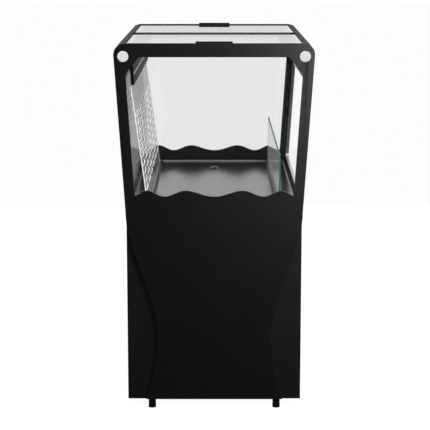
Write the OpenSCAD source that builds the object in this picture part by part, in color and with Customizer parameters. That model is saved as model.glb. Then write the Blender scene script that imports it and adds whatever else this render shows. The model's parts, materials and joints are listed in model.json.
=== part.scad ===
// Aquarium with a flared glass tank on a closed cabinet.
// Millimetres, +Z up. X runs across the tank, Y along it; the doors are on +X.
// The origin is on the floor, under the middle of the object.
// Heights below are counted from the underside of the cabinet, and lift() adds the feet.

/* [Overall] */
// Length over the outer faces of the two end panels
overall_len = 1000; // [800:10:1400]
// Width of the cabinet
cab_w = 530; // [440:2:620]
// Height of the cabinet carcass
cab_h = 580; // [500:5:700]
// Height of the tank, from the cabinet top to the top of the end panels
tank_h = 513; // [430:1:600]
// Height of the feet
foot_h = 30; // [20:1:60]
// Diameter of the feet
foot_d = 23; // [18:1:40]

/* [End panels] */
// Thickness of each end panel
panel_t = 8; // [6:0.5:12]
// How far the shoulder stands out past the cabinet on each side
shoulder_out = 1.8; // [0.5:0.1:6]
// Sideways growth of the tank for each unit of height
flare = 0.0662; // [0:0.001:0.12]
// How far the waist of the hourglass lies inside the cabinet's side
waist_in = 92; // [50:1:110]
// How far the bottom corner of the panel lies inside the cabinet's side
hem_in = 55.5; // [30:0.5:70]
// Height of the waist
waist_z = 200; // [150:5:260]
// Radius of the two top corners
corner_r = 34; // [28:1:45]
// Height of the top band above the window
band_h = 41; // [38:1:60]
// Width of the posts beside the window
post_w = 31.6; // [24:0.2:45]
// Sideways size of the corner gussets
gusset_x = 40; // [20:1:60]
// Height of the corner gussets
gusset_z = 50; // [30:1:70]
// Mean height of the wavy lower edge above the cabinet top
wave_z = 62.5; // [50:0.5:90]
// Half the height of the waves
wave_a = 9; // [4:0.5:16]
// Length of half a wave at the middle
wave_half = 102; // [60:1:160]
// How much the waves shorten towards the posts
wave_tighten = 0.00255; // [0:0.0001:0.004]
// Diameter of the round screw caps
cap_d = 33; // [24:1:36]
// Thickness of the round screw caps
cap_t = 3; // [2:0.5:3.5]

/* [Tank] */
// Thickness of the side and end glass
glass_t = 6; // [4:1:10]
// Thickness of the floor glass
floor_t = 10; // [6:1:15]
// Thickness of the foam mat under the tank
mat_t = 4; // [2:1:8]
// Thickness of the side frames
frame_t = 10; // [8:1:16]
// Height of the side windows above the tank floor
sill_h = 23; // [15:1:60]
// Height of the side frame above its window
head_h = 94; // [70:1:140]
// Width of the side frame posts
side_post = 47; // [30:1:80]
// Corner radius of the side windows
side_r = 22; // [8:1:40]
// Thickness of the bright window trim
trim_t = 3; // [2:0.5:5]
// Leg of the silicone seams
seam = 5; // [3:0.5:8]

/* [Lids] */
// Thickness of the lid panes
lid_t = 5; // [4:0.5:8]
// How far the lids lie below the top of the end panels
lid_drop = 3; // [2:0.5:10]
// Width of the ledge that carries a lid
ledge_w = 12; // [9:0.5:20]
// Width of the top rails, seen from above
rail_w = 32; // [28:1:50]
// Half width of the middle bar
bar_half = 9; // [7:0.5:14]
// How far the middle bar hangs below the lids
bar_drop = 2; // [1.5:0.5:4]
// How far the middle bar stands above the lids
bar_proud = 3; // [0.5:0.5:6]
// How far the lugs of the lid hinges hang below the lids
lug_drop = 6; // [4:0.5:9]
// Width of the grip of a lid handle
handle_w = 110; // [60:5:200]
// Height of a lid handle above the pane
handle_h = 8; // [7:0.5:20]
// Radius of the lid hinge pins
lid_pin_r = 2; // [1.5:0.25:3]

/* [Inside the tank] */
// Width of the channels beside the slotted sheet and the weir, at the floor
channel_w = 54.7; // [40:0.1:80]
// Thickness of the slotted sheet
sheet_t = 4; // [3:0.5:6]
// Gap between the top of the slotted sheet and the side pane
sheet_gap = 26; // [15:0.5:40]
// Distance between rows of slots
slot_pitch = 25; // [20:0.5:30]
// Height of the first row above the floor
slot_base = 55; // [40:1:80]
// Plain height above the last row
slot_head = 88; // [40:1:120]
// Least bridge between two slots of a row
slot_bridge = 30; // [20:1:60]
// Length of a slot
slot_l = 112; // [60:1:125]
// Width of a slot
slot_w = 13; // [6:0.5:16]
// Height of the glass weir
weir_h = 163; // [80:1:260]
// Thickness of the glass weir
weir_t = 5; // [4:0.5:8]
// Distance from the light bar's underside up to the top rail
light_drop = 91; // [80:1:110]
// Height of the light bar
light_h = 62; // [40:1:70]
// Depth of the light bar
light_d = 10; // [8:1:20]

/* [Drain] */
// Distance of the drain from the rear end panel
drain_in = 167; // [140:1:300]
// Outer radius of the drain pipe
pipe_r = 10; // [8:0.5:14]
// Wall of the drain pipe
pipe_wall = 3; // [2:0.5:4]
// Outer radius of the hose tail
tail_r = 8; // [6.5:0.5:11]

/* [Cabinet] */
// Thickness of the cabinet boards
board_t = 18; // [12:1:25]
// Gap round the doors
door_gap = 1.5; // [1:0.25:3]
// Radius of the door pivot pins
pivot_r = 3; // [2:0.5:5]
// Length of a pivot pin inside the board and inside the door
pivot_l = 12; // [8:1:20]
// Diameter of the door knobs
knob_d = 24; // [16:1:36]
// Radius of the cable port in the back board
port_r = 25; // [15:1:35]
// Radius of the hose hole in the divider
hose_r = 32; // [20:1:60]
// Distance of the feet from the cabinet's sides
foot_in = 73.4; // [30:0.2:100]

/* [Fits] */
// Radial clearance of a pin that turns
run_gap = 0.05; // [0.02:0.01:0.1]
// Radial clearance of a screw or pipe that passes through
pass_gap = 0.3; // [0.1:0.1:1]
// Clearance between neighbouring pieces that are bonded
bond_gap = 0.5; // [0.2:0.1:1]
// Clearance between pieces that move past each other
move_gap = 1; // [0.5:0.25:2]

/* [Hidden] */
$fn = 64;
E = 1;                                     // overshoot of a cut
body_half = overall_len / 2 - panel_t;     // inner face of an end panel
inner_len = 2 * (body_half - board_t);      // between the cabinet's end boards
cab_half = cab_w / 2;
waist_half = cab_half - waist_in;
hem_half = cab_half - hem_in;
foot_x = cab_half - foot_in;
drain_y = body_half - drain_in;
floor_z = cab_h + mat_t + floor_t;         // top of the tank floor
top_z = cab_h + tank_h;                    // top of the end panels
lid_top = top_z - lid_drop;
lid_z = lid_top - lid_t;                   // underside of the lids
shoulder_z = cab_h + 10;                   // where the flare starts
rail_z = top_z - corner_r - 3;             // joint between side frame and top rail
glass_top = rail_z + 6;
wall_t = frame_t + glass_t;
tilt = atan(flare);
sill_z = floor_z + sill_h;
head_z = rail_z - head_h;
window_y = body_half - side_post;
rail_in = half_at(rail_z) - rail_w;        // inner edge of the rail's top face
ledge_in = rail_in - ledge_w;
pad_t = 1;
lip_t = 5;
lid_half = rail_in - 4;
cap_x = half_at(rail_z) - 28.5;
cap_z = top_z - 39;
// Lid hinges
strip_r = 4;                               // rounding of the hinge strips
strip_y = bar_half + move_gap + strip_r;   // hinge axis
strip_z = lid_z + lid_t / 2;
grip_y = strip_y + strip_r + 2;            // edge of the pane
strip_out = grip_y + 8;
strip_half = lid_half - 14;
ear_t = 8;
ear_proud = 0.8;                           // height of the hinge ears above the lids
lid_end = body_half - 2;
pin_in = 12;                               // length of a hinge pin inside its strip
// Lid handles: flat base, upright lip, rolled edge and a fillet between them
handle_d = 13;
handle_base = 3;
handle_lip = 3.5;
roll_r = 2;
fillet_r = 4;
// Screws behind the round caps, and the screws that hold a panel to its board
cap_gap = 0.1;
cap_screw_r = 3;
cap_screw_l = 10;
cap_head_r = 6;
cap_head_h = 2.8;
cap_seat = 2;                              // wall under the head
board_screw_r = 2;
board_screw_in = 5;                        // depth in the end panel
// Cut that makes a side window
window_cut = 140;
window_cut_x = half_at(head_z) - 25;
trim_in = 0.5;                             // set back of the trim from the frame's face
// Sloping outer edge of the top rails, and the bosses that take the cap screws
rail_slope_w = 15;
rail_slope_z = top_z - 23;
boss_r = 14;
boss_l = 12;
// Doors
bay_z = cab_h - 2 * board_t;
door_h = bay_z - 4;
door_z = board_t + 2;
pivot_x = cab_half - board_t / 2;
pivot_y = body_half - board_t - door_gap - board_t / 2;
door_edge = move_gap;
washer_t = 1.8;
catch_y = 26;
knob_y = 40;
knob_z = cab_h * 0.72;
// Cabinet holes
port_y = body_half * 0.5;
port_z = cab_h - 130;
hose_z = port_z - 30;
bolt_r = 3;
foot_y = body_half - board_t * 2 / 3;      // the end feet bolt up into the end boards
bolt_z = 6;                                // lower end of a foot's bolt
bolt_l = foot_h - bolt_z + board_t - 1;
board_screw_x = cab_half - 60;
panel_screw_z = [120, cab_h - 120];
panel_screw_x = 120;
// Light bar and slotted sheet
light_z = rail_z - light_drop;
wall_in = half_at(floor_z) - wall_t;       // inner face of a side pane at the floor
divide_x = wall_in - channel_w;
sheet_rise = light_z - 6 - floor_z;
sheet_lean = (flare * sheet_rise + channel_w - sheet_gap - sheet_t) / sheet_rise;
sheet_tilt = atan(sheet_lean);
sheet_h = sheet_rise / cos(sheet_tilt);
sheet_half = body_half - glass_t - seam - 1;
slot_rows = 1 + floor((sheet_h - slot_base - slot_head) / slot_pitch);
slot_cols = floor(2 * sheet_half / (slot_l + slot_bridge));
light_back = half_at(light_z) - wall_t - sheet_gap - 1;
light_y = body_half - 42;
// Strips on the floor beside the sheet and the weir
retain_w = 9;
retain_h = 4;
retain_gap = 1;
// Groove of the light bar, which the lens lies in
groove_d = 3;
groove_end = 10;
groove_z = light_h * 0.4;
groove_h = light_h * 0.16;
light_len = light_y + body_half - glass_t - 2;
hanger_w = 20;
hanger_t = 3;
hanger_in = 9;                              // how far a hanger reaches under the ledge
// Drain heights
ball_r = 9;
nut_t = 10;
nut_z = cab_h - board_t - nut_t;
valve_half = 22;
valve_z = nut_z - valve_half - 16;

// ---- Shapes that several pieces share ----

// Half width of the end panels, and of the flared tank, at height z
function half_at(z) = cab_half + shoulder_out + flare * (z - cab_h);

function ease(t) = t * t * (3 - 2 * t);

// Half width of the hourglass below the shoulder
function hourglass(z) = z < waist_z
    ? waist_half + (hem_half - waist_half) * pow(1 - z / waist_z, 2)
    : waist_half + (half_at(shoulder_z) - waist_half) * ease((z - waist_z) / (shoulder_z - waist_z));

// Height of the wavy lower edge of a window
function wave(x) = cab_h + wave_z
    - wave_a * cos(180 * abs(x) / wave_half * (1 + wave_tighten * abs(x)));

// Inner edge of the post beside an end window
function post_in(z) = half_at(z) - post_w;

module lift() { translate([0, 0, foot_h]) children(); }
module rear() { mirror([0, 1, 0]) children(); }
module left() { mirror([1, 0, 0]) children(); }
// Turns a profile drawn as (x, z) into a bar along Y, centred
module along_y(length) { rotate([90, 0, 0]) linear_extrude(length, center = true) children(); }
// Turns a profile drawn as (y, z) into a bar along X, centred
module along_x(length) {
    rotate([90, 0, 90]) linear_extrude(length, center = true) children();
}
// A plate drawn as (x, z), with its outer face on the front of the object
module front_plate(y, t) { translate([0, y + t, 0]) rotate([90, 0, 0]) linear_extrude(t) children(); }
module rod_x(r, x0, x1) { translate([x0, 0, 0]) rotate([0, 90, 0]) cylinder(r = r, h = x1 - x0); }
module rod_y(r, y0, y1) { translate([0, y0, 0]) rotate([-90, 0, 0]) cylinder(r = r, h = y1 - y0); }
module both_x() { children(); mirror([1, 0, 0]) children(); }
module both_y() { children(); mirror([0, 1, 0]) children(); }

// Slab that follows the flare, from depth d0 to d1 behind the outer face
module wall_slab(d0, d1, z0, z1, length) {
    along_y(length) polygon([[half_at(z0) - d1, z0], [half_at(z0) - d0, z0],
        [half_at(z1) - d0, z1], [half_at(z1) - d1, z1]]);
}

// Rounded rectangle in (y, z)
module round_rect(y, z0, z1, r) {
    translate([-y + r, z0]) square([2 * (y - r), z1 - z0]);
    translate([-y, z0 + r]) square([2 * y, z1 - z0 - 2 * r]);
    for (sy = [-1, 1], cz = [z0 + r, z1 - r]) translate([sy * (y - r), cz]) circle(r);
}

// ---- End panels ----

module panel_outline() {
    corner_z = top_z - corner_r;
    corner_x = half_at(corner_z) - corner_r / cos(tilt);
    low = [for (z = [0 : shoulder_z / 30 : shoulder_z]) [hourglass(z), z]];
    arc = [for (a = [-tilt : (90 + tilt) / 12 : 90.001])
        [corner_x + corner_r * cos(a), corner_z + corner_r * sin(a)]];
    side = concat(low, arc);
    polygon(concat(side, [for (i = [len(side) - 1 : -1 : 0]) [-side[i][0], side[i][1]]]));
}

module panel_window() {
    z1 = top_z - band_h;
    zg = z1 - gusset_z;
    edge = post_in(cab_h + wave_z);
    bottom = [for (x = [-edge : edge / 30 : edge + 0.001]) [x, wave(x)]];
    polygon(concat(bottom, [[post_in(zg), zg], [post_in(zg) - gusset_x, z1],
        [gusset_x - post_in(zg), z1], [-post_in(zg), zg]]));
}

module end_panel() {
    difference() {
        front_plate(-overall_len / 2, panel_t) difference() {
            panel_outline();
            panel_window();
        }
        both_x() translate([cap_x, 0, cap_z]) {
            rod_y(cap_d / 2 + cap_gap, -overall_len / 2 - E, -overall_len / 2 + cap_t);
            rod_y(cap_head_r + bond_gap, -overall_len / 2, -body_half - cap_seat);
            rod_y(cap_screw_r + pass_gap, -overall_len / 2, -body_half + E);
        }
        for (x = [-panel_screw_x, panel_screw_x], z = panel_screw_z)
            translate([x, 0, z]) rod_y(board_screw_r, -body_half - board_screw_in, -body_half + E);
    }
}

module end_panel_front() { color([0.07, 0.07, 0.075]) lift() end_panel(); }
module end_panel_rear() { color([0.07, 0.07, 0.075]) lift() rear() end_panel(); }

module screw_caps() {
    color("white") lift() both_y() both_x() translate([cap_x, 0, cap_z])
        rod_y(cap_d / 2, -overall_len / 2, -overall_len / 2 + cap_t);
}

module panel_screws() {
    color("silver") lift() both_y() both_x() translate([cap_x, 0, cap_z]) {
        rod_y(cap_head_r, -body_half - cap_seat - cap_head_h, -body_half - cap_seat);
        rod_y(cap_screw_r, -body_half - cap_seat, -body_half + cap_screw_l);
    }
}

// ---- Side frames, trims and rails ----

module side_frame() {
    difference() {
        wall_slab(0, frame_t, cab_h, rail_z, 2 * body_half);
        translate([window_cut_x, 0, 0]) along_x(window_cut)
            round_rect(window_y, sill_z, head_z, side_r);
    }
}

module window_trim() {
    intersection() {
        wall_slab(trim_in, frame_t, cab_h, rail_z, 2 * body_half);
        translate([window_cut_x, 0, 0]) along_x(window_cut) difference() {
            round_rect(window_y, sill_z, head_z, side_r);
            round_rect(window_y - trim_t, sill_z + trim_t, head_z - trim_t, side_r - trim_t);
        }
    }
}

module side_frame_right() { color([0.08, 0.08, 0.085]) lift() side_frame(); }
module side_frame_left() { color([0.08, 0.08, 0.085]) lift() left() side_frame(); }
module window_trim_right() { color("silver") lift() window_trim(); }
module window_trim_left() { color("silver") lift() left() window_trim(); }

module rail_profile() {
    out = half_at(rail_z);
    slot_out = half_at(glass_top) - frame_t + bond_gap;
    slot_in = out - wall_t - bond_gap;
    polygon([[slot_out, rail_z], [out - 0.1, rail_z], [out - 2, rail_slope_z], [out - rail_slope_w, lid_top],
        [rail_in, lid_top], [rail_in, lid_z - pad_t], [ledge_in, lid_z - pad_t],
        [ledge_in, lid_z - pad_t - lip_t], [slot_in, lid_z - pad_t - lip_t],
        [slot_in, glass_top + bond_gap], [slot_out, glass_top + bond_gap]]);
}

module top_rail() {
    boss_z = cap_z - boss_r;
    boss_x = half_at(boss_z) - wall_t - bond_gap - 0.3;
    difference() {
        union() {
            along_y(2 * body_half) rail_profile();
            both_y() translate([ledge_in + 4, -body_half, boss_z])
                cube([boss_x - ledge_in - 4, boss_l, lid_z - pad_t - 1 - boss_z]);
        }
        both_y() translate([cap_x, 0, cap_z]) rod_y(cap_screw_r, -body_half - E, -body_half + cap_screw_l + 1);
    }
}

module top_rail_right() { color([0.08, 0.08, 0.085]) lift() top_rail(); }
module top_rail_left() { color([0.08, 0.08, 0.085]) lift() left() top_rail(); }

module ledge_pads() {
    color([0.7, 0.7, 0.7]) lift() both_x() both_y()
        translate([ledge_in, -body_half, lid_z - pad_t])
            cube([ledge_w, body_half - strip_out, pad_t]);
}

// ---- Middle bar and lids ----

module cross_bar() {
    color([0.1, 0.1, 0.1]) lift() difference() {
        union() {
            translate([-rail_in + bond_gap / 2, -bar_half, lid_z - pad_t])
                cube([2 * rail_in - bond_gap, 2 * bar_half, lid_t + pad_t + bar_proud]);
            translate([-ledge_in + bond_gap, -bar_half, lid_z - bar_drop])
                cube([2 * (ledge_in - bond_gap), 2 * bar_half, bar_drop]);
            both_x() both_y() translate([strip_half + move_gap, -strip_y - strip_r, 0]) {
                translate([0, 0, lid_z - pad_t])
                    cube([ear_t, strip_y + strip_r, lid_t + pad_t + ear_proud]);
                translate([0, 0, lid_z - lug_drop])
                    cube([ledge_in - bond_gap - strip_half - move_gap, strip_y + strip_r, lug_drop]);
            }
        }
        both_x() both_y() translate([0, -strip_y, strip_z])
            rod_x(lid_pin_r, strip_half, strip_half + move_gap + ear_t + E);
    }
}

module lid_hinge_pins() {
    color("silver") lift() both_x() both_y() translate([0, -strip_y, strip_z])
        rod_x(lid_pin_r, strip_half - pin_in, strip_half + move_gap + ear_t);
}

module lid_glass() {
    translate([-lid_half, -lid_end, lid_z]) cube([2 * lid_half, lid_end - grip_y, lid_t]);
}

module lid_strip() {
    difference() {
        union() {
            translate([0, -strip_y, strip_z]) rod_x(strip_r, -strip_half, strip_half);
            translate([-strip_half, -strip_out, strip_z - strip_r])
                cube([2 * strip_half, strip_out - strip_y, 2 * strip_r]);
        }
        translate([-strip_half - E, -strip_out - E, lid_z])
            cube([2 * (strip_half + E), strip_out - grip_y + E, lid_t]);
        both_x() translate([0, -strip_y, strip_z])
            rod_x(lid_pin_r + run_gap, strip_half - pin_in - E, strip_half + E);
    }
}

// Low base with an upright lip and a rolled top edge
module lid_handle() {
    translate([0, -lid_end, lid_top]) along_x(handle_w) {
        square([handle_d, handle_base]);
        square([handle_lip, handle_h - roll_r]);
        translate([roll_r + bond_gap, handle_h - roll_r]) circle(roll_r);
        translate([handle_lip, handle_base]) difference() {
            square(fillet_r);
            translate([fillet_r, fillet_r]) circle(fillet_r);
        }
    }
}

module lid_glass_front() { color([0.8, 0.9, 0.9, 0.4]) lift() lid_glass(); }
module lid_glass_rear() { color([0.8, 0.9, 0.9, 0.4]) lift() rear() lid_glass(); }
module lid_strip_front() { color([0.1, 0.1, 0.1]) lift() lid_strip(); }
module lid_strip_rear() { color([0.1, 0.1, 0.1]) lift() rear() lid_strip(); }
module lid_handle_front() { color([0.1, 0.1, 0.1]) lift() lid_handle(); }
module lid_handle_rear() { color([0.1, 0.1, 0.1]) lift() rear() lid_handle(); }

// ---- Tank glass ----

module floor_glass() {
    half = half_at(cab_h + mat_t) - wall_t - bond_gap;
    color([0.2, 0.2, 0.22]) lift() difference() {
        translate([-half, -body_half + glass_t + bond_gap, cab_h + mat_t])
            cube([2 * half, 2 * (body_half - glass_t - bond_gap), floor_t]);
        translate([0, drain_y, cab_h]) cylinder(r = pipe_r + pass_gap, h = 40);
    }
}

module base_mat() {
    half = half_at(cab_h) - frame_t - bond_gap;
    color([0.05, 0.05, 0.05]) lift() difference() {
        translate([-half, -body_half, cab_h]) cube([2 * half, 2 * body_half, mat_t]);
        translate([0, drain_y, cab_h - E]) cylinder(r = pipe_r + 2, h = mat_t + 2 * E);
    }
}

module end_glass() {
    z0 = cab_h + mat_t;
    zn = cap_z - 15;
    nx = ledge_in + 3;
    lo = half_at(z0) - wall_t - bond_gap;
    up = half_at(zn) - wall_t - bond_gap;
    front_plate(-body_half, glass_t) polygon([[-lo, z0], [lo, z0], [up, zn], [nx, zn],
        [nx, glass_top], [-nx, glass_top], [-nx, zn], [-up, zn]]);
}

module side_glass() {
    wall_slab(frame_t, wall_t, cab_h + mat_t, glass_top, 2 * body_half);
}

module end_glass_front() { color([0.8, 0.9, 0.9, 0.4]) lift() end_glass(); }
module end_glass_rear() { color([0.8, 0.9, 0.9, 0.4]) lift() rear() end_glass(); }
module side_glass_left() { color([0.8, 0.9, 0.9, 0.4]) lift() left() side_glass(); }
module side_glass_right() { color([0.8, 0.9, 0.9, 0.4]) lift() side_glass(); }

// Bead along the floor on every side; the side beads stop short of the end beads
module silicone_seams() {
    inner_y = body_half - glass_t;
    wall = half_at(floor_z) - wall_t;
    color([0.75, 0.76, 0.76]) lift() {
        both_x() translate([wall, 0, floor_z]) along_y(2 * (inner_y - seam))
            polygon([[-seam, 0], [0, 0], [flare * seam, seam]]);
        both_y() translate([0, -inner_y, floor_z]) along_x(2 * (wall - seam))
            polygon([[0, 0], [seam, 0], [0, seam]]);
    }
}

// ---- Inside the tank ----

// Drawn flat as (y, s), where s runs up the sheet
module slotted_face() {
    pitch = 2 * sheet_half / slot_cols;
    difference() {
        translate([-sheet_half, 0]) square([2 * sheet_half, sheet_h]);
        for (i = [0 : slot_cols - 1], j = [0 : slot_rows - 1])
            translate([(i - (slot_cols - 1) / 2) * pitch, slot_base + j * slot_pitch]) {
                square([slot_l - slot_w, slot_w], center = true);
                for (s = [-1, 1]) translate([s * (slot_l - slot_w) / 2, 0]) circle(slot_w / 2, $fn = 24);
            }
    }
}

module slotted_sheet() {
    color([0.85, 0.87, 0.87, 0.5]) lift() left()
        translate([divide_x, 0, floor_z + bond_gap + sheet_t * sin(sheet_tilt)]) rotate([0, sheet_tilt, 0])
            rotate([90, 0, 90]) linear_extrude(sheet_t) slotted_face();
}

module glass_weir() {
    half = body_half - glass_t - seam - 1;
    color([0.7, 0.85, 0.8, 0.5]) lift()
        translate([divide_x - weir_t / 2, -half, floor_z + bond_gap]) cube([weir_t, 2 * half, weir_h]);
}

// Low retaining strips on the floor beside the sheet and the weir
module floor_strips() {
    half = body_half - glass_t - seam - 1;
    color([0.1, 0.1, 0.1]) lift() {
        translate([divide_x - weir_t / 2 - retain_w, -half, floor_z])
            cube([retain_w - bond_gap, 2 * half, retain_h]);
        translate([-divide_x + retain_gap, -half, floor_z]) cube([retain_w, 2 * half, retain_h]);
    }
}

// Profile of the light bar in a frame that leans with the wall: x inwards, z up
module light_at() {
    translate([-light_back, 0, light_z]) rotate([0, -tilt, 0]) children();
}

module light_bar_housing() {
    color([0.1, 0.1, 0.1]) lift() light_at() difference() {
        translate([0, -light_y, 0]) cube([light_d, light_len, light_h]);
        translate([light_d - groove_d, -light_y + groove_end, groove_z])
            cube([groove_d + E, light_len - 2 * groove_end, groove_h]);
    }
}

module light_bar_lens() {
    color([0.6, 0.6, 0.6]) lift() light_at()
        translate([light_d - groove_d, -light_y + groove_end, groove_z])
            cube([groove_d / 2, light_len - 2 * groove_end, groove_h]);
}

// Straps that stand on the bar and hook under the ledge
module light_bar_hangers() {
    foot = light_z + light_h + 1;
    top = lid_z - pad_t - lip_t;
    back = light_back + flare * light_h - 1;
    color([0.15, 0.15, 0.15]) lift() for (y = [-light_y * 0.7, light_y * 0.7]) translate([0, y, 0])
        along_y(hanger_w) polygon([[-back, foot], [hanger_t - back, foot], [hanger_t - back, top],
            [-ledge_in - hanger_in, top], [-ledge_in - hanger_in, top - hanger_t], [-back, top - hanger_t]]);
}

// ---- Drain and valve ----

module drain_at() { lift() translate([0, drain_y, 0]) children(); }

module drain_strainer() {
    color([0.2, 0.2, 0.2]) drain_at() translate([0, 0, floor_z + 3]) difference() {
        union() {
            cylinder(r = pipe_r - 0.5, h = 3);
            translate([0, 0, -4]) cylinder(r = pipe_r - pipe_wall - 0.2, h = 4);
        }
        translate([0, 0, -5]) cylinder(r = pipe_r - pipe_wall - 2, h = 6);
        for (a = [0 : 60 : 300]) rotate(a) translate([pipe_r * 0.4, 0, 0]) cylinder(r = 1.2, h = 10, $fn = 16);
    }
}

module drain_fitting() {
    color([0.2, 0.2, 0.2]) drain_at() difference() {
        union() {
            translate([0, 0, floor_z]) cylinder(r = pipe_r + 5, h = 3);
            translate([0, 0, valve_z + valve_half]) cylinder(r = pipe_r, h = floor_z - valve_z - valve_half);
        }
        translate([0, 0, valve_z]) cylinder(r = pipe_r - pipe_wall, h = 200);
    }
}

module drain_nut() {
    color([0.15, 0.15, 0.15]) drain_at() translate([0, 0, nut_z]) difference() {
        cylinder(r = pipe_r + 7, h = nut_t, $fn = 6);
        translate([0, 0, -E]) cylinder(r = pipe_r, h = nut_t + 2 * E);
    }
}

module valve_body() {
    color([0.3, 0.3, 0.32]) drain_at() translate([0, 0, valve_z]) difference() {
        union() {
            translate([0, 0, -valve_half]) cylinder(r = ball_r + 5, h = 2 * valve_half);
            rod_x(8, 0, 22);
        }
        sphere(ball_r + pass_gap);
        translate([0, 0, -30]) cylinder(r = ball_r - 3, h = 60);
        rod_x(4 + run_gap, 0, 30);
    }
}

module valve_stem() {
    color("silver") drain_at() translate([0, 0, valve_z]) difference() {
        union() {
            sphere(ball_r);
            rod_x(4, 0, 30);
        }
        translate([0, 0, -15]) cylinder(r = ball_r - 3, h = 30);
    }
}

module valve_lever() {
    color([0.7, 0.1, 0.1]) drain_at() translate([0, 0, valve_z]) difference() {
        union() {
            rod_x(8, 23, 31);
            translate([24, -6, -58]) cube([5, 12, 58]);
        }
        rod_x(4, 20, 35);
    }
}

module hose_tail() {
    color([0.2, 0.2, 0.2]) drain_at() difference() {
        union() {
            translate([0, 0, valve_z - valve_half - 6]) cylinder(r = ball_r + 3, h = 6);
            translate([0, 0, valve_z - valve_half - 34]) cylinder(r = tail_r, h = 30);
        }
        translate([0, 0, valve_z - 60]) cylinder(r = tail_r - 2.5, h = 50);
    }
}

// ---- Cabinet ----

module board_holes(r, y0, y1) {
    for (x = [-board_screw_x, board_screw_x], z = [board_t / 2, cab_h - board_t / 2])
        translate([x, 0, z]) rod_y(r, y0, y1);
}

module cabinet_end() {
    difference() {
        translate([-cab_half, -body_half, 0]) cube([cab_w, board_t, cab_h]);
        board_holes(2.5, -body_half - E, -body_half + board_t + E);
        for (x = [-panel_screw_x, panel_screw_x], z = panel_screw_z)
            translate([x, 0, z]) rod_y(board_screw_r, -body_half - E, -body_half + board_t + E);
        foot_places() bolt_hole();
    }
}

module cabinet_end_front() { color([0.09, 0.09, 0.09]) lift() cabinet_end(); }
module cabinet_end_rear() { color([0.09, 0.09, 0.09]) lift() rear() cabinet_end(); }

module board_screws() {
    color("silver") lift() both_y() board_holes(2.5, -body_half, -body_half + board_t + 40);
}

module inner_screws() {
    y = -body_half + board_t;
    color("silver") lift() both_y() for (x = [-panel_screw_x, panel_screw_x], z = panel_screw_z)
        translate([x, 0, z]) {
            rod_y(4.5, y, y + 2.5);
            rod_y(board_screw_r, -body_half - board_screw_in, y);
        }
}

module flat_board(z) {
    difference() {
        translate([-cab_half, -inner_len / 2, z]) cube([cab_w, inner_len, board_t]);
        both_y() board_holes(2.5, -body_half, -body_half + board_t + 40);
        both_y() translate([pivot_x, -pivot_y, board_t - pivot_l])
            cylinder(r = pivot_r, h = cab_h - 2 * board_t + 2 * pivot_l);
    }
}

module cabinet_bottom() {
    color([0.09, 0.09, 0.09]) lift() difference() {
        flat_board(0);
        foot_places() bolt_hole();
    }
}

module cabinet_top() {
    color([0.09, 0.09, 0.09]) lift() difference() {
        flat_board(cab_h - board_t);
        translate([0, drain_y, cab_h - board_t - E]) cylinder(r = pipe_r + 2, h = board_t + 2 * E);
    }
}

module cabinet_back() {
    color([0.09, 0.09, 0.09]) lift() difference() {
        translate([-cab_half, -inner_len / 2, board_t]) cube([board_t, inner_len, bay_z]);
        translate([0, port_y, port_z]) rod_x(port_r + 3, -cab_half - E, -cab_half + board_t + E);
    }
}

module cable_grommet() {
    color([0.05, 0.05, 0.05]) lift() translate([0, port_y, port_z]) difference() {
        union() {
            rod_x(port_r + 3, -cab_half, -cab_half + board_t);
            rod_x(port_r + 8, -cab_half - 2, -cab_half);
            rod_x(port_r + 8, -cab_half + board_t, -cab_half + board_t + 2);
        }
        rod_x(port_r, -cab_half - 5, -cab_half + board_t + 5);
    }
}

module cabinet_divider() {
    color([0.09, 0.09, 0.09]) lift() difference() {
        translate([-cab_half + board_t, -board_t / 2, board_t])
            cube([cab_w - 2 * board_t - 2, board_t, bay_z]);
        translate([0, 0, hose_z]) rod_y(hose_r, -board_t, board_t);
    }
}

// Door leaf, with its hinge edge rounded about the pivot
module door() {
    difference() {
        union() {
            translate([pivot_x, -pivot_y, door_z]) cylinder(r = board_t / 2, h = door_h);
            translate([pivot_x - board_t / 2, -pivot_y, door_z])
                cube([board_t, pivot_y - door_edge, door_h]);
        }
        translate([pivot_x, -pivot_y, door_z - E]) cylinder(r = pivot_r + run_gap, h = pivot_l + E);
        translate([pivot_x, -pivot_y, door_z + door_h - pivot_l])
            cylinder(r = pivot_r + run_gap, h = pivot_l + E);
    }
}

module door_knob() {
    translate([cab_half, -knob_y, knob_z]) rotate([0, 90, 0]) {
        cylinder(r = knob_d / 2 - 5, h = 12);
        translate([0, 0, 12]) cylinder(r1 = knob_d / 2 - 5, r2 = knob_d / 2, h = 3);
        translate([0, 0, 15]) cylinder(r = knob_d / 2, h = 5);
    }
}

module door_plate() {
    translate([pivot_x - board_t / 2 - 0.8, -catch_y - 14, door_z + door_h - 18]) cube([0.8, 28, 14]);
}

module door_front() { color([0.09, 0.09, 0.09]) lift() door(); }
module door_rear() { color([0.09, 0.09, 0.09]) lift() rear() door(); }
module door_knob_front() { color([0.2, 0.2, 0.2]) lift() door_knob(); }
module door_knob_rear() { color([0.2, 0.2, 0.2]) lift() rear() door_knob(); }
module door_plates() { color("silver") lift() door_plate(); }
module door_plates_rear() { color("silver") lift() rear() door_plate(); }

module door_pivots() {
    color("silver") lift() both_y() translate([pivot_x, -pivot_y, 0]) {
        translate([0, 0, board_t - pivot_l]) cylinder(r = pivot_r, h = 2 * pivot_l);
        translate([0, 0, cab_h - board_t - pivot_l]) cylinder(r = pivot_r, h = 2 * pivot_l);
    }
}

module pivot_washers() {
    color("white") lift() both_y() translate([pivot_x, -pivot_y, board_t]) difference() {
        cylinder(r = pivot_r + 4, h = washer_t);
        translate([0, 0, -E]) cylinder(r = pivot_r, h = washer_t + 2 * E);
    }
}

module door_catches() {
    color([0.15, 0.15, 0.15]) lift() both_y()
        translate([pivot_x - board_t / 2 - 1.6 - 20, -catch_y - 15, cab_h - board_t - 20])
            cube([20, 30, 20]);
}

// ---- Feet ----

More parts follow.
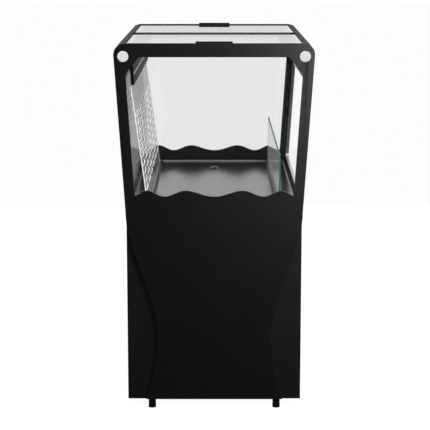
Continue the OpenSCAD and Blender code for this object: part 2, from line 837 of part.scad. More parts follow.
// Cut for a foot's bolt, from the underside of the cabinet
module bolt_hole() { translate([0, 0, -E]) cylinder(r = bolt_r, h = bolt_z + bolt_l - foot_h + E); }

module foot_places() {
    for (x = [-foot_x, foot_x], y = [-foot_y, 0, foot_y]) translate([x, y, 0]) children();
}

module feet() {
    color([0.05, 0.05, 0.05]) foot_places() difference() {
        union() {
            cylinder(r1 = foot_d / 2 - 2, r2 = foot_d / 2, h = 2);
            translate([0, 0, 2]) cylinder(r = foot_d / 2, h = foot_h - 2);
        }
        translate([0, 0, bolt_z]) cylinder(r = bolt_r, h = foot_h);
    }
}

module foot_bolts() {
    color("silver") foot_places() translate([0, 0, bolt_z]) cylinder(r = bolt_r, h = bolt_l);
}

end_panel_front();
end_panel_rear();
screw_caps();
panel_screws();
side_frame_left();
side_frame_right();
window_trim_left();
window_trim_right();
top_rail_left();
top_rail_right();
ledge_pads();
cross_bar();
lid_hinge_pins();
floor_glass();
base_mat();
end_glass_front();
end_glass_rear();
side_glass_left();
side_glass_right();
silicone_seams();
slotted_sheet();
glass_weir();
floor_strips();
light_bar_housing();
light_bar_lens();
light_bar_hangers();
lid_glass_front();
lid_strip_front();
lid_handle_front();
lid_glass_rear();
lid_strip_rear();
lid_handle_rear();
drain_strainer();
drain_fitting();
drain_nut();
valve_body();
valve_stem();
valve_lever();
hose_tail();
cabinet_end_front();
cabinet_end_rear();
cabinet_back();
cabinet_top();
cabinet_bottom();
cabinet_divider();
board_screws();
inner_screws();
cable_grommet();
door_front();
door_rear();
door_knob_front();
door_knob_rear();
door_plates();
door_plates_rear();
door_pivots();
pivot_washers();
door_catches();
feet();
foot_bolts();
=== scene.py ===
"""Looks of the aquarium on its cabinet.

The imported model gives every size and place. Each class below dresses one sub-assembly: it builds the finished
meshes, gives them their finish and lets them ride on their body.
"""
import json
import logging
import math
from dataclasses import dataclass, field
from enum import Enum
from typing import Any, Optional, Sequence

import bmesh
import bpy
from mathutils import Matrix, Vector


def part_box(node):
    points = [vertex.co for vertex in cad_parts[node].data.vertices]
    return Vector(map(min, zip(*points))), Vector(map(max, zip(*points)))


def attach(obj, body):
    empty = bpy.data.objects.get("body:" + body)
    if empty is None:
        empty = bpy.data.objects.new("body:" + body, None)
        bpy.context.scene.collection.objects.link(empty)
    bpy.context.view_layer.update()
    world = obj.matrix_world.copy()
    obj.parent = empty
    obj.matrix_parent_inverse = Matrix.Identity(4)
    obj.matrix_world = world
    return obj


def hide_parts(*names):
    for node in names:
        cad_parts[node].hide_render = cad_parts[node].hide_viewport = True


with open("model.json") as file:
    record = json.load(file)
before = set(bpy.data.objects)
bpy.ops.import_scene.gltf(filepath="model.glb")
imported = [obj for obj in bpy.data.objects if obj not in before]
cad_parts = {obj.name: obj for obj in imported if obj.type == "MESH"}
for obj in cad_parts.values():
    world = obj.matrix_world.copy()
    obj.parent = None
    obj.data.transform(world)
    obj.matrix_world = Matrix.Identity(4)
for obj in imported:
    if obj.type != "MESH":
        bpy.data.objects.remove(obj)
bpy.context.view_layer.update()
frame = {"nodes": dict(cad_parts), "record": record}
LOG = logging.getLogger("aquarium")
MM = 0.001
HEAD_ON = 0.04  # share that clear glass mirrors when it is seen head on
GRAZE = 5.0  # how steeply that share rises towards a view along the pane
SHARP = math.radians(30)  # an edge that bends more than this stays sharp
ROUNDED = math.radians(32)  # an edge that bends more than this is bevelled
TURNED_SHARP = math.radians(35)  # the same as SHARP, for turned pieces
FLAT = math.radians(0.3)  # triangles that differ by less belong to one face
WELD = 0.01 * MM  # vertices closer than this are one
FINE_WELD = 0.001 * MM  # the same for turned pieces
Triple = tuple[float, float, float]
Colour = Triple


class Side(Enum):
    """Which end or long side of the object a piece belongs to."""

    FRONT = -1
    REAR = 1
    LEFT = -2
    RIGHT = 2

    @property
    def tag(self) -> str:
        """The word that ends the names of this side's nodes."""
        return self.name.lower()


# ---- Shader helpers ----


class Sock:
    """A number socket that grows Math nodes when it is used in an expression."""

    def __init__(self, paint: "Paint", socket: Any) -> None:
        """Wraps a socket.

        Args:
            paint: The material under construction.
            socket: The output socket that carries the number.
        """
        self.paint = paint
        self.socket = socket

    def _math(self, operation: str, *values: Any, clamp: bool = False) -> "Sock":
        """Adds one Math node.

        Args:
            operation: The Math node's operation.
            values: Its inputs, numbers or Socks.
            clamp: Whether the result stays between 0 and 1.

        Returns:
            The node's result.
        """
        node = self.paint.add("ShaderNodeMath", {"operation": operation, "use_clamp": clamp},
                              dict(enumerate(values)))
        return Sock(self.paint, node.outputs[0])

    def __add__(self, other: Any) -> "Sock":
        """self + other."""
        return self._math("ADD", self, other)

    def __sub__(self, other: Any) -> "Sock":
        """self - other."""
        return self._math("SUBTRACT", self, other)

    def __rsub__(self, other: Any) -> "Sock":
        """other - self."""
        return self._math("SUBTRACT", other, self)

    def __mul__(self, other: Any) -> "Sock":
        """self * other."""
        return self._math("MULTIPLY", self, other)

    __radd__ = __add__
    __rmul__ = __mul__

    def power(self, exponent: float) -> "Sock":
        """self raised to an exponent."""
        return self._math("POWER", self, exponent)

    def clamped(self) -> "Sock":
        """self kept between 0 and 1."""
        return self._math("ADD", self, 0.0, clamp=True)

    def ramp(self, low: float, high: float) -> "Sock":
        """Rises smoothly from 0 at low to 1 at high."""
        node = self.paint.add("ShaderNodeMapRange", {"interpolation_type": "SMOOTHSTEP"},
                              {"Value": self, "From Min": low, "From Max": high})
        return Sock(self.paint, node.outputs[0])


class Paint:
    """One node material under construction."""

    def __init__(self, name: str) -> None:
        """Starts an empty material.

        Args:
            name: The material's name.
        """
        self.material = bpy.data.materials.new(name)
        self.material.use_nodes = True
        self.tree = self.material.node_tree
        self.tree.nodes.clear()

    def add(self, kind: str, settings: Optional[dict[str, Any]] = None,
            inputs: Optional[dict[Any, Any]] = None) -> Any:
        """Adds a node.

        Args:
            kind: The node's type name.
            settings: Properties, set before the inputs.
            inputs: Values, Socks or sockets by input name or number.

        Returns:
            The new node.
        """
        node = self.tree.nodes.new(kind)
        for key, value in (settings or {}).items():
            setattr(node, key, value)
        for key, value in (inputs or {}).items():
            if isinstance(value, Sock):
                value = value.socket
            if isinstance(value, bpy.types.NodeSocket):
                self.tree.links.new(value, node.inputs[key])
            elif isinstance(value, tuple) and len(value) == 3 and node.inputs[key].type == "RGBA":
                node.inputs[key].default_value = (*value, 1.0)
            else:
                node.inputs[key].default_value = value
        return node

    def place(self, scale: Sequence[float] = (1.0, 1.0, 1.0)) -> Any:
        """The point on the piece, in metres, stretched by scale along each axis."""
        coords = self.add("ShaderNodeTexCoord").outputs["Object"]
        return self.add("ShaderNodeMapping", None, {"Vector": coords, "Scale": tuple(scale)}).outputs[0]

    def noise(self, size: float, detail: float = 3.0, stretch: Sequence[float] = (1.0, 1.0, 1.0)) -> Sock:
        """Cloudy noise.

        Args:
            size: Size of a cloud in metres.
            detail: Number of finer octaves.
            stretch: Scale along each axis; a small value draws the clouds out along it.

        Returns:
            A value near 0.5.
        """
        node = self.add("ShaderNodeTexNoise", None,
                        {"Vector": self.place(stretch), "Scale": 1.0 / size, "Detail": detail})
        return Sock(self, node.outputs[0])

    def mix(self, factor: Any, first: Any, second: Any) -> Any:
        """Blends two colours.

        Args:
            factor: 0 for first, 1 for second.
            first: A colour or colour socket.
            second: A colour or colour socket.

        Returns:
            The colour socket.
        """
        node = self.add("ShaderNodeMix", {"data_type": "RGBA"}, {0: factor, 6: first, 7: second})
        return node.outputs[2]

    def bump(self, height: Sock, depth: float) -> Any:
        """The normal of a surface whose height varies.

        Args:
            height: The height, from 0 to 1.
            depth: The depth of a height of 1, in metres.

        Returns:
            The normal socket.
        """
        return self.add("ShaderNodeBump", None,
                        {"Height": height, "Distance": depth, "Strength": 1.0}).outputs[0]

    def shader(self, inputs: dict[str, Any]) -> Any:
        """A Principled shader's output."""
        return self.add("ShaderNodeBsdfPrincipled", None, inputs).outputs[0]

    def done(self, surface: Any) -> bpy.types.Material:
        """Joins the surface to the output and returns the material."""
        self.add("ShaderNodeOutputMaterial", None, {"Surface": surface})
        return self.material


# ---- Finishes ----


@dataclass(frozen=True)
class Solid:
    """An opaque moulded, coated, rubber or metal surface.

    Args:
        name: Name of the finish.
        colour: Base colour.
        roughness: Mean roughness.
        metallic: 1 for bare metal.
        mottle: Share by which the colour varies in large clouds.
        grain: Size of the surface grain in metres.
        depth: Depth of the grain in metres.
        stretch: Stretch of the grain, for brushing.
        scatter: How much the roughness varies.
        specular: Specular level.
        dust: Share of pale dust on the raised grain.
    """

    name: str
    colour: Colour
    roughness: float = 0.45
    metallic: float = 0.0
    mottle: float = 0.12
    grain: float = 0.0012
    depth: float = 0.00002
    stretch: Triple = (1.0, 1.0, 1.0)
    scatter: float = 0.06
    specular: float = 0.5
    dust: float = 0.01

    def make(self) -> bpy.types.Material:
        """Builds the material."""
        paint = Paint(self.name)
        clouds = paint.noise(0.09, 4.0)
        grain = paint.noise(self.grain, 2.0, self.stretch)
        low = tuple(c * (1 - self.mottle) for c in self.colour)
        high = tuple(min(1.0, c * (1 + self.mottle)) for c in self.colour)
        base = paint.mix(clouds.ramp(0.3, 0.7), low, high)
        base = paint.mix(grain.ramp(0.6, 0.8) * self.dust, base, (0.5, 0.49, 0.47))
        rough = self.roughness + (clouds - 0.5) * self.scatter + (grain - 0.5) * self.scatter
        return paint.done(paint.shader({
            "Base Color": base, "Roughness": rough.clamped(), "Metallic": self.metallic,
            "Specular IOR Level": self.specular,
            "Normal": paint.bump(grain, self.depth)}))


@dataclass(frozen=True)
class Pane:
    """Clear glass or clear sheet, seen through and mirroring at a low angle.

    Args:
        name: Name of the finish.
        tint: Share of light that one surface lets through, by colour.
        roughness: Roughness of the mirrored light.
        haze: Share of a pale diffuse veil, as on a smeared or frosted pane.
        veil: Colour of the veil.
        gloss: Share of plain glass's mirror.
        deep: Share that one surface lets through when it is seen nearly along the pane.
        painted_glow: Painted light: emission from the veil, though it is no lamp, standing in for light caught
            on a cut edge or a hazy face.
        mirror: Colour of the mirrored light.
    """

    name: str
    tint: Colour
    roughness: float = 0.01
    haze: float = 0.0
    veil: Colour = (0.8, 0.82, 0.82)
    gloss: float = 1.0
    deep: Optional[Colour] = None
    painted_glow: float = 0.0
    mirror: Colour = (1.0, 1.0, 1.0)

    def make(self) -> bpy.types.Material:
        """Builds the material."""
        paint = Paint(self.name)
        smear = paint.noise(0.06, 3.0, (1.0, 1.0, 0.35))
        clear = paint.add("ShaderNodeBsdfTransparent", None, {"Color": self.tint}).outputs[0]
        slant = Sock(paint, paint.add("ShaderNodeLayerWeight").outputs["Facing"])
        if self.deep:
            long_way = paint.add("ShaderNodeBsdfTransparent", None, {"Color": self.deep}).outputs[0]
            clear = paint.add("ShaderNodeMixShader", None,
                              {0: slant.ramp(0.55, 0.95), 1: clear, 2: long_way}).outputs[0]
        # The veil's emission is painted light: it makes the veil glow though it is no lamp.
        veil = paint.shader({"Base Color": self.veil, "Roughness": 0.6, "Specular IOR Level": 0.0,
                             "Emission Color": self.veil, "Emission Strength": self.painted_glow})
        body = paint.add("ShaderNodeMixShader", None,
                         {0: (self.haze * (0.6 + 0.8 * smear)).clamped(), 1: clear, 2: veil}).outputs[0]
        gloss = paint.add("ShaderNodeBsdfGlossy", None,
                          {"Color": self.mirror, "Roughness": self.roughness}).outputs[0]
        share = HEAD_ON + (1 - HEAD_ON) * slant.power(GRAZE)
        return paint.done(paint.add("ShaderNodeMixShader", None,
                                    {0: (share * self.gloss).clamped(), 1: body, 2: gloss}).outputs[0])


PANEL = Solid("panel_black", (0.0024, 0.0024, 0.0026), 0.43, grain=0.0016, depth=0.00003, dust=0.002,
              scatter=0.02, specular=0.4)
# PANEL_EDGE, lighter than PANEL, colours the bevelled edges of the end panels: edge wear, and a painted edge
# highlight.
PANEL_EDGE = Solid("panel_edge", (0.008, 0.008, 0.0085), 0.4, grain=0.0008, dust=0.004, specular=0.3)
PROFILE = Solid("profile_black", (0.006, 0.006, 0.0065), 0.55, grain=0.0009, dust=0.003, specular=0.05)
BOARD = Solid("board_black", (0.004, 0.004, 0.0043), 0.5, grain=0.0014, depth=0.00006,
              stretch=(1.0, 1.0, 0.12), dust=0.01, specular=0.35)
HANDLE = Solid("handle_black", (0.006, 0.006, 0.0065), 0.34, grain=0.0006, dust=0.002, specular=0.3)
STRIP = Solid("strip_black", (0.006, 0.006, 0.0065), 0.45, dust=0.003, specular=0.2)
CAP = Solid("cap_white", (0.84, 0.84, 0.83), 0.38, mottle=0.02, grain=0.0008, dust=0.0)
TRIM = Solid("trim_bright", (0.6, 0.61, 0.62), 0.28, metallic=1.0, grain=0.0007,
             stretch=(1.0, 0.04, 1.0), depth=0.00001)
STEEL = Solid("steel_plated", (0.55, 0.55, 0.57), 0.3, metallic=1.0, grain=0.0008)
PAD = Solid("pad_grey", (0.62, 0.63, 0.63), 0.6, mottle=0.06)
FOAM = Solid("foam_black", (0.012, 0.012, 0.012), 0.9, grain=0.0025, depth=0.0004, mottle=0.25,
             specular=0.1)
FLOOR_GLASS = Solid("floor_glass_black", (0.012, 0.012, 0.0125), 0.17, grain=0.02, depth=0.00001,
                    scatter=0.05, dust=0.0)
SEAM = Solid("silicone_grey", (0.10, 0.10, 0.10), 0.32, grain=0.006, depth=0.0003, mottle=0.12)
LIGHT = Solid("light_black", (0.005, 0.005, 0.0055), 0.55, grain=0.0008, stretch=(1.0, 0.05, 1.0),
              dust=0.003, specular=0.06)
LENS = Solid("lens_frosted", (0.06, 0.062, 0.064), 0.3, mottle=0.1)
LED = Solid("led_chip", (0.75, 0.72, 0.5), 0.35, grain=0.0006)
PIPE = Solid("pipe_grey", (0.045, 0.045, 0.05), 0.36)
LEVER = Solid("lever_red", (0.45, 0.035, 0.03), 0.35, mottle=0.06)
NYLON = Solid("nylon_white", (0.75, 0.74, 0.7), 0.5)
FOOT = Solid("foot_black", (0.008, 0.008, 0.008), 0.62, grain=0.001, depth=0.00005, specular=0.3)

# The panes are one glass. Their tint, gloss, haze and deep differ from pane to pane as painted light and shade:
# a darker tint paints shade, and a lower gloss or a dimmer mirror takes reflection out.
FRONT_GLASS = Pane("glass_front", (0.995, 0.998, 0.997), gloss=0.3)
BACK_GLASS = Pane("glass_back", (0.948, 0.95, 0.949))
RIGHT_GLASS = Pane("glass_right", (0.998, 0.999, 0.999), gloss=0.05)
LEFT_GLASS = Pane("glass_left", (0.93, 0.94, 0.935), haze=0.04, gloss=0.3, deep=(0.5, 0.505, 0.505))
LID_GLASS = Pane("glass_lid", (0.94, 0.943, 0.942), mirror=(0.88, 0.885, 0.885))
SCREEN = Pane("sheet_clear", (0.95, 0.955, 0.955), haze=0.14, roughness=0.06, gloss=0.42,
              deep=(0.58, 0.585, 0.585))
# SCREEN_EDGE colours the slot walls and cut edges of the sheet; the glow of its veil is a painted highlight
# where the walls catch light.
SCREEN_EDGE = Pane("sheet_edge", (0.95, 0.95, 0.95), haze=1.0, roughness=0.2, veil=(0.92, 0.93, 0.93),
                   gloss=0.2, painted_glow=0.26)
# The glow of the weir's veil is painted light that brightens its face; the glow of WEIR_EDGE is a painted
# highlight along its green glass edges.
WEIR = Pane("glass_weir", (0.96, 0.965, 0.96), haze=0.38, veil=(0.8, 0.765, 0.745), gloss=0.75,
            deep=(0.5, 0.47, 0.45), roughness=0.03, mirror=(1.0, 0.95, 0.91), painted_glow=0.6)
WEIR_EDGE = Pane("glass_weir_edge", (0.3, 0.5, 0.42), haze=1.0, roughness=0.1,
                 veil=(0.055, 0.16, 0.115), gloss=0.15, painted_glow=0.25)
GLASS_EDGE = Pane("glass_edge", (0.6, 0.72, 0.68), haze=0.35, roughness=0.1, veil=(0.35, 0.5, 0.46),
                  gloss=0.4)


# ---- Mesh helpers ----


class Workshop:
    """Makes pieces, dresses them and hangs them on their bodies."""

    def __init__(self, record: dict[str, Any]) -> None:
        """Reads which body and slot each node has.

        Args:
            record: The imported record.
        """
        self.body = {node: body for body, nodes in record["behaviour"]["bodies"].items() for node in nodes}
        self.slots = {part["node"]: part["material_slot"] for part in record["subparts"]}
        self._made: dict[str, bpy.types.Material] = {}

    def paint(self, finish: Any) -> bpy.types.Material:
        """The material of a finish, built once."""
        if finish.name not in self._made:
            self._made[finish.name] = finish.make()
        return self._made[finish.name]

    def place(self, obj: bpy.types.Object, node: str, replaces: Sequence[str] = ()) -> bpy.types.Object:
        """Lets a finished piece ride with a node's body.

        Args:
            obj: The piece, with its materials.
            node: The node whose body it takes.
            replaces: The nodes that it stands for.

        Returns:
            The piece.
        """
        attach(obj, self.body[node])
        if replaces:
            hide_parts(*replaces)
        LOG.info("placed %s on %s, %d faces", obj.name, self.body[node], len(obj.data.polygons))
        return obj

    def object(self, name: str, mesh: bpy.types.Mesh, finishes: Sequence[Any]) -> bpy.types.Object:
        """A mesh object at the origin with its finishes."""
        obj = bpy.data.objects.new(name, mesh)
        bpy.context.scene.collection.objects.link(obj)
        for finish in finishes:
            mesh.materials.append(self.paint(finish))
        return obj

    def shell(self, node: str, finish: Any, width: float, edge: Any = None, segments: int = 3,
              rim: bool = False) -> bpy.types.Object:
        """A bevelled copy of a CAD node, which replaces it.

        Args:
            node: The node's name.
            finish: The finish of its faces.
            width: Width of the bevel in metres.
            edge: The finish of its bevelled edges, where it differs.
            segments: Number of strips in the bevel.
            rim: Whether the narrow faces of a pane take the edge's finish too.

        Returns:
            The placed piece.
        """
        mesh = merged(frame["nodes"][node].data, rim)
        obj = self.object(node + "_shell", mesh, [finish, edge or finish])
        bevel(obj, width, segments, 1 if edge else 0)
        return self.place(obj, node, [node])


def merged(source: bpy.types.Mesh, rim: bool = False) -> bpy.types.Mesh:
    """A copy of a mesh with its triangles joined into faces.

    Args:
        source: The mesh to copy.
        rim: Whether faces that stand across the largest one get the second material slot.

    Returns:
        The new mesh.
    """
    mesh = source.copy()
    mesh.materials.clear()
    work = bmesh.new()
    work.from_mesh(mesh)
    bmesh.ops.remove_doubles(work, verts=work.verts, dist=WELD)
    bmesh.ops.dissolve_limit(work, angle_limit=FLAT, verts=work.verts, edges=work.edges)
    bmesh.ops.recalc_face_normals(work, faces=work.faces)
    main_face = max(work.faces, key=lambda face: face.calc_area()).normal.copy()
    for face in work.faces:
        face.material_index = int(rim and abs(face.normal.dot(main_face)) < 0.9)
    work.to_mesh(mesh)
    work.free()
    return mesh


def flatten(obj: bpy.types.Object) -> bpy.types.Object:
    """Turns an object and its modifiers into a plain mesh."""
    bpy.context.view_layer.update()
    graph = bpy.context.evaluated_depsgraph_get()
    mesh = bpy.data.meshes.new_from_object(obj.evaluated_get(graph), depsgraph=graph)
    obj.modifiers.clear()
    obj.data = mesh
    return obj


def bevel(obj: bpy.types.Object, width: float, segments: int, slot: int = 0) -> bpy.types.Object:
    """Rounds the sharp edges of an object and smooths the rounding.

    Args:
        obj: The object to change.
        width: Width of the bevel in metres.
        segments: Number of strips in it.
        slot: Material slot of the strips.

    Returns:
        The object.
    """
    obj.data.shade_smooth()
    obj.data.set_sharp_from_angle(angle=SHARP)
    rounding = obj.modifiers.new("rounding", "BEVEL")
    rounding.width = width
    rounding.segments = segments
    rounding.limit_method = "ANGLE"
    rounding.angle_limit = ROUNDED
    rounding.harden_normals = True
    rounding.use_clamp_overlap = True
    rounding.material = slot if slot else -1
    return flatten(obj)


def lathe(profile: Sequence[tuple[float, float]], axis: Matrix, steps: int = 48,
          bored: bool = False) -> bpy.types.Mesh:
    """A closed solid turned from a profile.

    Args:
        profile: Points (radius, height); the first and last lie on the axis, unless the solid is bored.
        axis: Where the turning axis goes: its Z becomes the axis.
        steps: Number of steps round the axis.
        bored: Whether the last point joins the first one, away from the axis.

    Returns:
        The mesh.
    """
    work = bmesh.new()
    verts = [work.verts.new((radius, 0.0, height)) for radius, height in profile]
    edges = [work.edges.new(pair) for pair in zip(verts, verts[1:])]
    if bored:
        edges.append(work.edges.new((verts[-1], verts[0])))
    bmesh.ops.spin(work, geom=verts + edges, cent=(0, 0, 0), axis=(0, 0, 1), angle=math.tau,
                   steps=steps, use_merge=True, use_normal_flip=False)
    bmesh.ops.remove_doubles(work, verts=work.verts, dist=FINE_WELD)
    bmesh.ops.recalc_face_normals(work, faces=work.faces)
    bmesh.ops.transform(work, matrix=axis, verts=work.verts)
    mesh = bpy.data.meshes.new("lathe")
    work.to_mesh(mesh)
    work.free()
    mesh.shade_smooth()
    mesh.set_sharp_from_angle(angle=TURNED_SHARP)
    return mesh


def joined(meshes: Sequence[bpy.types.Mesh], name: str) -> bpy.types.Mesh:
    """One mesh out of several."""
    work = bmesh.new()
    for mesh in meshes:
        work.from_mesh(mesh)
    result = bpy.data.meshes.new(name)
    work.to_mesh(result)
    work.free()
    return result


# ---- Geometry Nodes ----


class Tree:
    """A Geometry Nodes tree with named inputs, which makes one piece."""

    KINDS = {float: "NodeSocketFloat", int: "NodeSocketInt", tuple: "NodeSocketVector"}

    def __init__(self, name: str, sizes: dict[str, Any]) -> None:
        """Starts a tree.

        Args:
            name: Name of the tree and of the piece that it makes.
            sizes: The value of each named input.
        """
        self.name = name
        self.sizes = sizes
        self.group = bpy.data.node_groups.new(name, "GeometryNodeTree")
        self.sockets = {label: self.group.interface.new_socket(label, in_out="INPUT",
                                                               socket_type=self.KINDS[type(value)])
                        for label, value in sizes.items()}
        self.group.interface.new_socket("Geometry", in_out="OUTPUT", socket_type="NodeSocketGeometry")
        self.source = self.group.nodes.new("NodeGroupInput")

    def size(self, label: str) -> Any:
        """The socket of a named input."""
        return self.source.outputs[label]

    def add(self, kind: str, settings: Optional[dict[str, Any]] = None,
            inputs: Optional[dict[Any, Any]] = None) -> Any:
        """Adds a node and returns its first output.

        Args:
            kind: The node's type name without the GeometryNode in front, or in full.
            settings: Properties, set before the inputs.
            inputs: Values, sockets or lists of sockets by input name or number.

        Returns:
            The first output of the node.
        """
        full = kind if kind.startswith(("Shader", "Function")) else "GeometryNode" + kind
        node = self.group.nodes.new(full)
        for key, value in (settings or {}).items():
            setattr(node, key, value)
        for key, value in (inputs or {}).items():
            for item in value if isinstance(value, list) else [value]:
                if isinstance(item, bpy.types.NodeSocket):
                    self.group.links.new(item, node.inputs[key])
                else:
                    node.inputs[key].default_value = item
        return node.outputs[0]

    def sum(self, operation: str, *values: Any) -> Any:
        """One Math node on numbers or sockets."""
        return self.add("ShaderNodeMath", {"operation": operation}, dict(enumerate(values)))

    def vector(self, x: Any = 0.0, y: Any = 0.0, z: Any = 0.0) -> Any:
        """A vector out of three numbers or sockets."""
        return self.add("ShaderNodeCombineXYZ", None, {0: x, 1: y, 2: z})

    def moved(self, geometry: Any, offset: Any, turn: tuple[float, float, float] = (0, 0, 0)) -> Any:
        """Geometry turned and then moved."""
        return self.add("Transform", None, {"Geometry": geometry, "Translation": offset, "Rotation": turn})

    def slab(self, curves: Sequence[Any], depth: Any) -> tuple[Any, Any]:
        """A closed slab whose outline and holes are closed curves.

        Args:
            curves: The outline, then what is cut out of it.
            depth: Its thickness, upwards.

        Returns:
            The mesh and the selection of its walls.
        """
        flat = self.add("FillCurve", {"mode": "TRIANGLES"},
                        {"Curve": self.add("JoinGeometry", None, {"Geometry": list(curves)})})
        raised = self.add("ExtrudeMesh", {"mode": "FACES"}, {
            "Mesh": flat, "Offset": self.vector(z=1.0), "Offset Scale": depth, "Individual": False})
        both = self.add("JoinGeometry", None, {"Geometry": [
            self.add("FlipFaces", None, {"Mesh": flat}), raised]})
        closed = self.add("MergeByDistance", None, {"Geometry": both, "Distance": WELD})
        return closed, raised.node.outputs["Side"]

    def copies(self, points: Any, item: Any, turn: Any = (0.0, 0.0, 0.0)) -> Any:
        """One real copy of an item on each point."""
        placed = self.add("InstanceOnPoints", None, {"Points": points, "Instance": item, "Rotation": turn})
        return self.add("RealizeInstances", None, {"Geometry": placed})

    def build(self, shop: "Workshop", geometry: Any, finish: Any, walls: Any = None,
              wall_finish: Any = None) -> bpy.types.Object:
        """Ends the tree and turns its result into a plain mesh object.

        Args:
            shop: The workshop.
            geometry: The finished geometry.
            finish: Its finish.
            walls: Faces that take another finish.
            wall_finish: That finish.

        Returns:
            The object.
        """
        result = self.add("SetMaterial", None, {
            "Geometry": self.add("RealizeInstances", None, {"Geometry": geometry}),
            "Material": shop.paint(finish)})
        if walls is not None:
            result = self.add("SetMaterial", None, {
                "Geometry": result, "Selection": walls, "Material": shop.paint(wall_finish)})
        output = self.group.nodes.new("NodeGroupOutput")
        self.group.links.new(result, output.inputs["Geometry"])
        obj = bpy.data.objects.new(self.name, bpy.data.meshes.new(self.name))
        bpy.context.scene.collection.objects.link(obj)
        modifier = obj.modifiers.new(self.name, "NODES")
        modifier.node_group = self.group
        for label, value in self.sizes.items():
            modifier[self.sockets[label].identifier] = value
        return flatten(obj)


def cross_screw(tree: Tree) -> Any:
    """A screw with a cross recess, its head on the XY plane; inputs head, rise, shank and reach."""
    head = tree.size("head")
    disc = tree.add("CurvePrimitiveCircle", None, {"Resolution": 24, "Radius": head})
    cross = tree.add("CurveStar", None, {
        "Points": 4, "Inner Radius": tree.sum("MULTIPLY", head, 0.16),
        "Outer Radius": tree.sum("MULTIPLY", head, 0.62)})
    low, _ = tree.slab([disc], tree.sum("MULTIPLY", tree.size("rise"), 0.5))
    high, _ = tree.slab([disc, cross], tree.sum("MULTIPLY", tree.size("rise"), 0.5))
    raised = tree.moved(high, tree.vector(z=tree.sum("MULTIPLY", tree.size("rise"), 0.5)))
    rod = tree.add("MeshCylinder", None, {
        "Vertices": 20, "Radius": tree.size("shank"), "Depth": tree.size("reach")})
    shank = tree.moved(rod, tree.vector(z=tree.sum("MULTIPLY", tree.size("reach"), -0.5)))
    return tree.add("JoinGeometry", None, {"Geometry": [low, raised, shank]})


def fluted_foot(tree: Tree) -> Any:
    """A foot with a fluted collar, standing on the XY plane; inputs radius, flutes, rise and height."""
    ring = tree.add("CurveStar", None, {
        "Points": tree.size("flutes"), "Inner Radius": tree.sum("MULTIPLY", tree.size("radius"), 0.94),
        "Outer Radius": tree.size("radius")})
    collar, _ = tree.slab([ring], tree.size("rise"))
    neck = tree.add("CurvePrimitiveCircle", None, {
        "Resolution": 40, "Radius": tree.sum("MULTIPLY", tree.size("radius"), 0.97)})
    stem, _ = tree.slab([neck], tree.sum("SUBTRACT", tree.size("height"), tree.size("rise")))
    return tree.add("JoinGeometry", None, {"Geometry": [
        collar, tree.moved(stem, tree.vector(z=tree.size("rise")))]})


def turned(x: Vector, y: Vector, z: Vector, origin: Vector) -> Matrix:
    """The matrix that carries the axes to three directions and the origin to a point."""
    return Matrix.Translation(origin) @ Matrix((x, y, z)).transposed().to_4x4()


# ---- Sub-assemblies ----


@dataclass
class EndPanels:
    """The two cut-out end panels with their round caps.

    Args:
        shop: The workshop.
        rounding: Bevel of the panel's edges.
        thick: Thickness of a cap.
        rim: Rounding of its rim.
        groove: Depth of the fine ring in its face.
    """

    shop: Workshop
    rounding: float = 1.4 * MM
    thick: float = 2.6 * MM
    rim: float = 0.6 * MM
    groove: float = 0.35 * MM

    def build(self) -> None:
        """Builds both panels and all four caps."""
        for side in (Side.FRONT, Side.REAR):
            self.shop.shell("end_panel_" + side.tag, PANEL, self.rounding, PANEL_EDGE)
        self.caps()
        self.shop.shell("panel_screws", STEEL, 0.4 * MM)

    def caps(self) -> None:
        """Turns the white caps, each with a rounded rim and a fine ring."""
        low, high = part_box("screw_caps")
        radius = (high.z - low.z) / 2
        profile = [(0, -self.thick), (radius - self.rim, -self.thick), (radius, self.rim - self.thick),
                   (radius, -1.0 * MM), (radius - 0.5 * MM, -self.groove), (radius - 1.4 * MM, 0),
                   (radius * 0.66, 0), (radius * 0.64, -self.groove), (radius * 0.6, -self.groove),
                   (radius * 0.58, 0), (radius * 0.3, 0), (0, 0)]
        meshes = []
        for x in (low.x + radius, high.x - radius):
            for end, turn in ((low.y, 90), (high.y, -90)):
                facing = Matrix.Rotation(math.radians(turn), 4, "X")
                meshes.append(lathe(profile, Matrix.Translation((x, end, low.z + radius)) @ facing))
        obj = self.shop.object("round_caps", joined(meshes, "round_caps"), [CAP])
        self.shop.place(obj, "screw_caps", ["screw_caps"])


@dataclass
class TankFrame:
    """Side frames, window linings, rails, ledge pads and the middle bar."""

    shop: Workshop

    def build(self) -> None:
        """Builds the frame's pieces."""
        for side in (Side.LEFT, Side.RIGHT):
            self.shop.shell("side_frame_" + side.tag, PROFILE, 0.8 * MM)
            self.shop.shell("window_trim_" + side.tag, TRIM, 0.6 * MM)
            self.shop.shell("top_rail_" + side.tag, PROFILE, 1.2 * MM)
        self.shop.shell("ledge_pads", PAD, 0.3 * MM)
        self.shop.shell("cross_bar", PROFILE, 1.0 * MM)
        self.shop.shell("lid_hinge_pins", STEEL, 0.3 * MM)


@dataclass
class TankGlass:
    """Panes, floor, seams and mat of the tank."""

    shop: Workshop
    arris: float = 0.7 * MM

    def build(self) -> None:
        """Builds the glazing."""
        for node, finish in (("end_glass_front", FRONT_GLASS), ("end_glass_rear", BACK_GLASS),
                             ("side_glass_left", LEFT_GLASS), ("side_glass_right", RIGHT_GLASS)):
            self.shop.shell(node, finish, self.arris, GLASS_EDGE, 2, rim=True)
        self.shop.shell("floor_glass", FLOOR_GLASS, self.arris)
        self.shop.shell("silicone_seams", SEAM, 0.6 * MM)
        self.shop.shell("base_mat", FOAM, 0.8 * MM)


